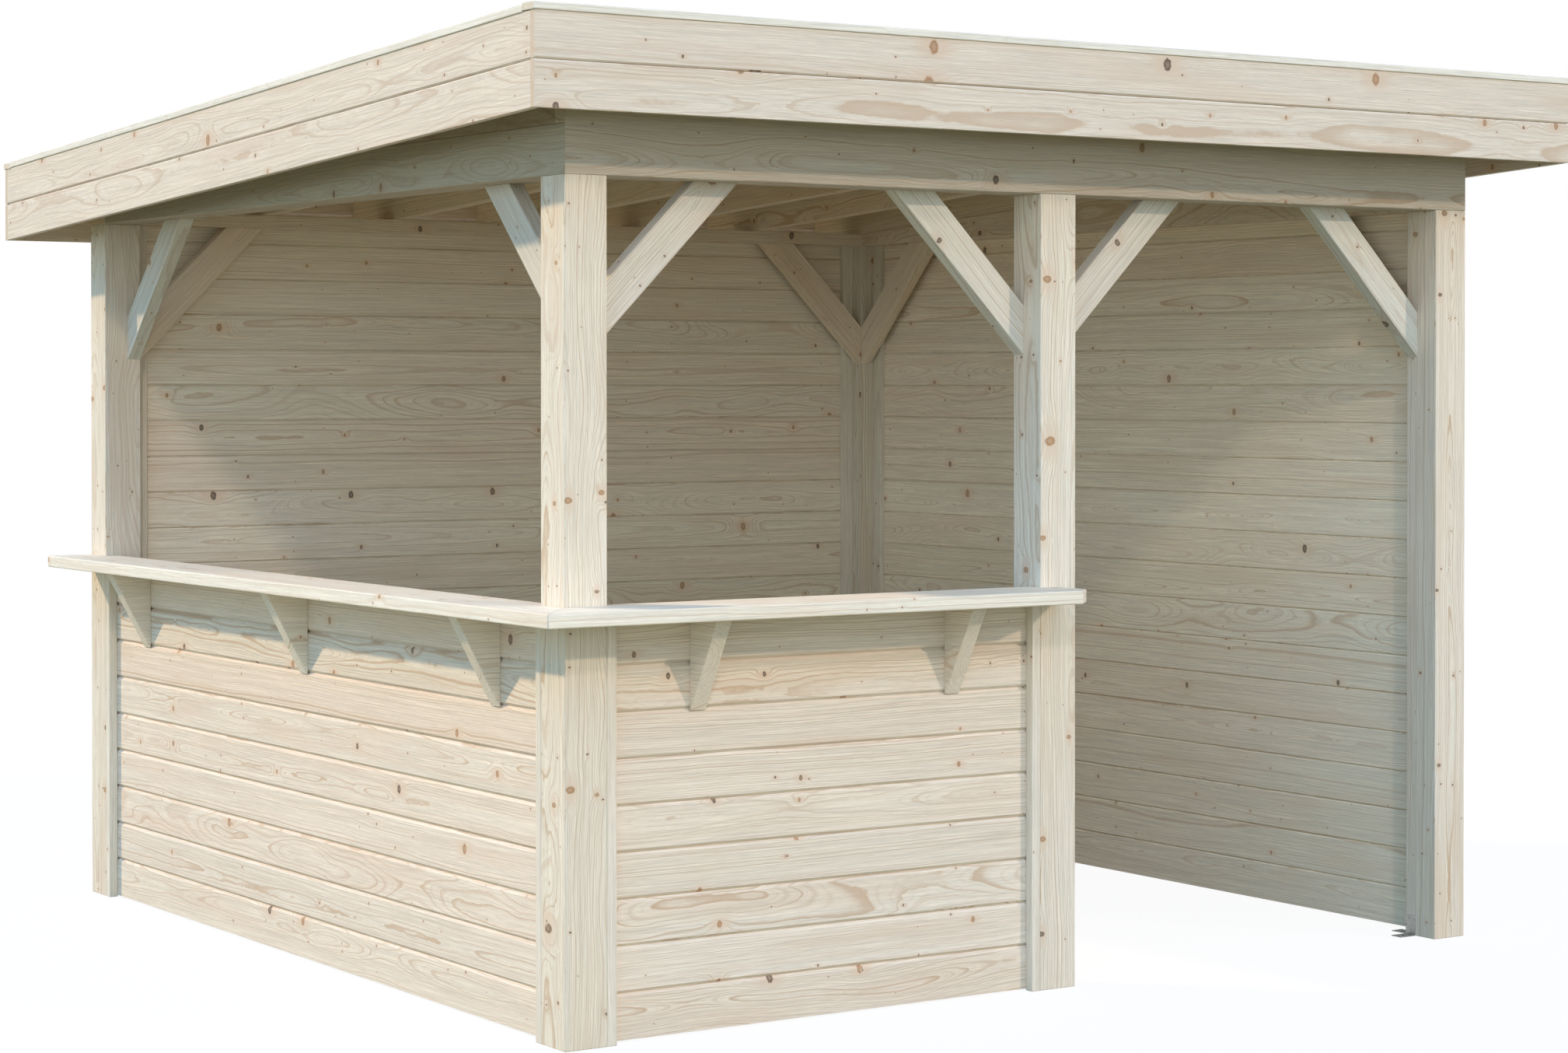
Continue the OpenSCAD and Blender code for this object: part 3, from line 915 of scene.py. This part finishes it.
def brackets(side, three):
    """Three-cornered brackets under a counter, two or three of them, their grain level."""
    node = f"{side}_counter_brackets"
    low, high = side_box(side, node)
    middle = [(low[0] + high[0]) / 2] if three else []
    origin, along, inward = SIDES[side]
    stock = Stock(node + "_timber")
    top = high[2]
    out, back = low[1], high[1]
    shape = [(back, top), (back, top - BRACKET_H), (back - BRACKET_TIP, top - BRACKET_H),
             (out, top - BRACKET_TIP), (out, top)]
    for u in (low[0] + BRACKET_T / 2, *middle, high[0] - BRACKET_T / 2):
        stock.stick(wound(shape), (u - BRACKET_T / 2, u + BRACKET_T / 2), laid(origin, inward, UP, along),
                    "bracket", lie="abw")
    stock.make(node, FINISH["counter_wood"])


brackets("front", three=False)
brackets("left", three=True)

# ---------------------------------------------------------------- anchors
def holes(centres, radius, reach, level):
    """Corners and faces of round cutters, for a plate that lies level or for one that stands."""
    n = HOLE_SIDES
    points, faces = [], []
    for u, v in centres:
        base = len(points)
        for w in reach:
            for k in range(n):
                turn = k * math.tau / n
                c, d = u + radius * math.cos(turn), v + radius * math.sin(turn)
                points.append((c, d, w) if level else (w, c, d))
        faces += [(base + k, base + (k + 1) % n, base + n + (k + 1) % n, base + n + k) for k in range(n)]
        faces += [tuple(base + k for k in reversed(range(n))), tuple(base + n + k for k in range(n))]
    return points, faces


def in_order(mesh):
    """The same mesh with its corners and faces sorted; a boolean leaves them in any order."""
    spots = [tuple(v.co) for v in mesh.vertices]
    order = sorted(range(len(spots)), key=spots.__getitem__)
    rank = {old: new for new, old in enumerate(order)}
    faces = []
    for face in mesh.polygons:
        ring = [rank[i] for i in face.vertices]
        first = ring.index(min(ring))
        faces.append(ring[first:] + ring[:first])
    ordered = bpy.data.meshes.new(mesh.name)
    ordered.from_pydata([spots[i] for i in order], [], sorted(faces))
    return ordered


def bent_anchor(leg, width, height):
    """A steel angle with a soft bend; its upright leg backs onto x = 0 and its foot runs along +x."""
    t, inner, outer = ANCHOR_T, BEND_R, BEND_R + ANCHOR_T
    arc = [k * math.pi / 2 / BEND_FLATS for k in range(BEND_FLATS + 1)]
    profile = [(outer - outer * math.cos(a), outer - outer * math.sin(a)) for a in arc]
    profile += [(leg, 0), (leg, t)]
    profile += [(t + inner - inner * math.sin(a), t + inner - inner * math.cos(a)) for a in arc]
    profile += [(t, height), (0, height)]
    work = bmesh.new()
    face = work.faces.new([work.verts.new((x, 0, z)) for x, z in profile])
    grown = bmesh.ops.extrude_face_region(work, geom=[face])["geom"]
    moved = [v for v in grown if isinstance(v, bmesh.types.BMVert)]
    bmesh.ops.translate(work, verts=moved, vec=(0, width, 0))
    bmesh.ops.recalc_face_normals(work, faces=work.faces)
    mesh = bpy.data.meshes.new("angle")
    work.to_mesh(mesh)
    work.free()
    angle = bpy.data.objects.new("angle", mesh)
    middle = (t + leg) / 2
    upright = holes(NAIL_HOLES, NAIL_R, NAIL_PUNCH, level=False)
    bolts = [(middle + way * BOLT_SET, width / 2) for way in (-1, 1)]
    foot = holes(bolts, BOLT_R, BOLT_PUNCH, level=True)
    cutter_mesh = bpy.data.meshes.new("punch")
    shift = len(upright[0])
    faces = upright[1] + [tuple(i + shift for i in face) for face in foot[1]]
    cutter_mesh.from_pydata(upright[0] + foot[0], [], faces)
    punch = bpy.data.objects.new("punch", cutter_mesh)
    for o in (angle, punch):
        bpy.context.scene.collection.objects.link(o)
    cut = angle.modifiers.new("holes", "BOOLEAN")
    cut.object, cut.operation, cut.solver = punch, "DIFFERENCE", "EXACT"
    soft = angle.modifiers.new("worn_edges", "BEVEL")
    soft.width, soft.segments = WORN, 2
    soft.limit_method, soft.angle_limit = "ANGLE", WORN_TURN
    bpy.context.view_layer.update()
    done = bpy.data.meshes.new_from_object(angle.evaluated_get(bpy.context.evaluated_depsgraph_get()))
    bpy.data.objects.remove(angle)
    bpy.data.objects.remove(punch)
    return in_order(done)


def anchors():
    """Two anchors to each bay, screwed to the facing sides of its posts, in one piece."""
    single = bent_anchor(ANCHOR_LEG, ANCHOR_W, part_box("ground_anchors")[1].z)
    inner_edge = POST - ANCHOR_INSET
    mid_left, mid_right = middle_post[0].x + HX, middle_post[1].x + HX
    bays = [("front", POST, mid_left), ("front", mid_right, 2 * HX - POST), ("left", POST, 2 * HY - POST),
            ("back", POST, 2 * HX - POST), ("right", POST, 2 * HY - POST)]
    work = bmesh.new()
    for side, start, stop in bays:
        origin, along, inward = SIDES[side]
        for place in (laid(origin + along * start + inward * (inner_edge - ANCHOR_W), along, inward, UP),
                      laid(origin + along * stop + inward * inner_edge, -along, -inward, UP)):
            part = single.copy()
            part.transform(place)
            work.from_mesh(part)
            bpy.data.meshes.remove(part)
    mesh = bpy.data.meshes.new("ground_anchor_angles")
    bmesh.ops.recalc_face_normals(work, faces=work.faces)
    work.to_mesh(mesh)
    work.free()
    mesh.materials.clear()
    mesh.materials.append(FINISH["galvanised_steel"])
    piece = bpy.data.objects.new("ground_anchor_angles", mesh)
    bpy.context.scene.collection.objects.link(piece)
    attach(piece, "root")
    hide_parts("ground_anchors")


anchors()

# ---------------------------------------------------------------- floor, light, camera
def plain_white(bench):
    """1 for rays that come from the camera, straight or by way of gloss or glass, and 0 for others."""
    rays = bench.add("ShaderNodeLightPath").socket.node.outputs
    kinds = ("Is Camera Ray", "Is Glossy Ray", "Is Transmission Ray")
    direct, mirrored, through = (Wire(bench, rays[kind]) for kind in kinds)
    shown = direct + mirrored + through
    return shown.maths("MINIMUM", shown, 1.0)


FLOOR_GLOW = 0.93         # how much of the floor's white is its own; shadows fall on the rest
FLOOR_REACH = 40
# seen is what shows in the picture, and unseen is what throws light back at the object.
bench = Bench(bpy.data.materials.new("pale_floor"))
lit = bench.add("ShaderNodeBsdfDiffuse", values={"Color": (0.9, 0.9, 0.9, 1)})
glow = bench.add("ShaderNodeEmission", values={"Color": (1, 1, 1, 1), "Strength": 1.0})
seen = bench.add("ShaderNodeMixShader", values={0: FLOOR_GLOW, 1: lit, 2: glow})
unseen = bench.add("ShaderNodeBsdfDiffuse", values={"Color": (0.25, 0.24, 0.13, 1)})
floor_finish = bench.add("ShaderNodeMixShader", values={0: plain_white(bench), 1: unseen, 2: seen})
bench.add("ShaderNodeOutputMaterial", values={0: floor_finish})

mesh = bpy.data.meshes.new("floor")
outline = oblong(-FLOOR_REACH, -FLOOR_REACH, FLOOR_REACH, FLOOR_REACH)
mesh.from_pydata([(x, y, 0) for x, y in outline], [], [(0, 1, 2, 3)])
mesh.materials.append(bench.owner)
floor = bpy.data.objects.new("floor", mesh)
bpy.context.scene.collection.objects.link(floor)

# Soft light from the left, the front and behind on the right, bluish and strongest high up.
sky = Bench(bpy.data.worlds.new("studio"))
bpy.context.scene.world = sky.owner
east, north, up = sky.parts(sky.add("ShaderNodeTexCoord", out="Generated"))
up = up.maths("MAXIMUM", up, 0.0)
low_down = (1 - up) ** 3.0
left, front = (w.maths("MAXIMUM", w * -1.0, 0.0) for w in (east, north))
corner = east.maths("MAXIMUM", east, 0.0) * north.maths("MAXIMUM", north, 0.0)
steep = up ** 2.0
glows = [(left * low_down, (1.52, 2.02, 2.40)), (left * steep, (0.0, 1.70, 4.20)),
         (front * low_down, (1.65, 1.74, 1.85)), (front * steep, (3.00, 4.15, 5.70)),
         (corner, (2.6, 3.3, 4.6))]
total = (0.0, 0.0, 0.0)
for share, colour in glows:
    total = sky.vector("ADD", sky.scaled(colour, share), total)
soft = sky.add("ShaderNodeBackground", values={0: total, 1: 1.0})
white = sky.add("ShaderNodeBackground", values={0: (1, 1, 1, 1), 1: 1.0})
studio = sky.add("ShaderNodeMixShader", values={0: plain_white(sky), 1: soft, 2: white})
sky.add("ShaderNodeOutputWorld", values={0: studio})


def lamp(name, towards, strength, softness, colour):
    """A distant studio lamp in the direction given, as wide as softness in degrees."""
    light = bpy.data.lights.new(name, "SUN")
    light.energy, light.angle, light.color = strength, math.radians(softness), colour
    holder = bpy.data.objects.new(name, light)
    holder.rotation_euler = Vector(towards).to_track_quat("Z", "Y").to_euler()
    bpy.context.scene.collection.objects.link(holder)


lamp("front_right_lamp", (0.51, -0.761, 0.401), 1.12, 2.0, (1, 0.79, 0.60))
lamp("back_left_lamp", (-0.575, 0.627, 0.525), 2.99, 2.0, (1, 0.75, 0.49))
lamp("front_left_lamp", (-0.415, -0.735, 0.536), 0.50, 3.5, (1, 0.79, 0.64))

EYE = (-5.4955, -8.4545, 1.6275)
GAZE = (0.55393, 0.83250, -0.01060)
camera = bpy.data.objects.new("camera", bpy.data.cameras.new("camera"))
camera.location = EYE
camera.rotation_euler = Vector(GAZE).to_track_quat("-Z", "Y").to_euler()
camera.data.lens = 74.87
camera.data.sensor_width = 36
camera.data.shift_y = -0.067
bpy.context.scene.collection.objects.link(camera)
bpy.context.scene.camera = camera
bpy.context.scene.view_settings.view_transform = "Standard"
